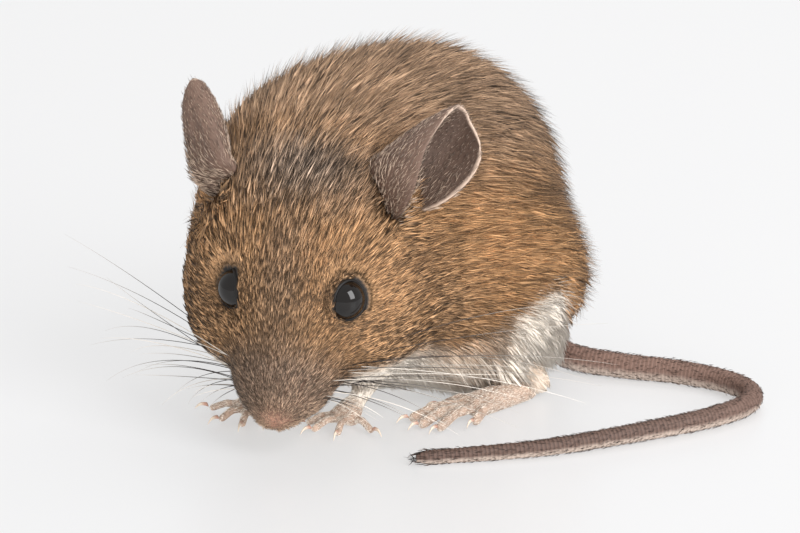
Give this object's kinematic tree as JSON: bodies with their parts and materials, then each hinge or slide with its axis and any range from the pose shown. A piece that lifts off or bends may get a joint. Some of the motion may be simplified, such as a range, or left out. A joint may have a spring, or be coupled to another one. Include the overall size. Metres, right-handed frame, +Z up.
{
  "type": "field mouse",
  "caption": "Life-size crouching field mouse, its head bent down to its left, with cupped ears, clawed feet and a long tail curled beside it.",
  "frame": {"origin": "centre of the whole outline's footprint, at the level of the soles", "axes": "+Z up from the floor, the trunk faces -Y, the mouse's own left is +X and its tail curls round on that side"},
  "size_m": [0.0558, 0.0572, 0.0397],
  "materials": {
    "coat": "dense short fur, cinnamon with dark tips, white below",
    "tail_skin": "ringed scales with short bristles",
    "ear_skin": "thin dusky skin with sparse short hair",
    "bare_skin": "pink skin with fine white hair",
    "eye": "wet black gloss",
    "horn": "translucent pale horn"
  },
  "bodies": {
    "root": {"claw_fore_left_1": "horn", "claw_fore_left_2": "horn", "claw_fore_left_3": "horn", "claw_fore_left_4": "horn", "claw_fore_right_1": "horn", "claw_fore_right_2": "horn", "claw_fore_right_3": "horn", "claw_fore_right_4": "horn", "claw_hind_left_1": "horn", "claw_hind_left_2": "horn", "claw_hind_left_3": "horn", "claw_hind_left_4": "horn", "claw_hind_left_5": "horn", "claw_hind_right_1": "horn", "claw_hind_right_2": "horn", "claw_hind_right_3": "horn", "claw_hind_right_4": "horn", "claw_hind_right_5": "horn", "ear_left": "ear_skin", "ear_right": "ear_skin", "eye_left": "eye", "eye_right": "eye", "foreleg_left": "coat", "foreleg_right": "coat", "forepaw_left": "bare_skin", "forepaw_right": "bare_skin", "haunch_left": "coat", "haunch_right": "coat", "head": "coat", "hind_foot_left": "bare_skin", "hind_foot_right": "bare_skin", "neck": "coat", "shank_left": "coat", "shank_right": "coat", "tail_1": "tail_skin", "tail_2": "tail_skin", "tail_3": "tail_skin", "tail_4": "tail_skin", "trunk": "coat"}
  },
  "joints": []
}
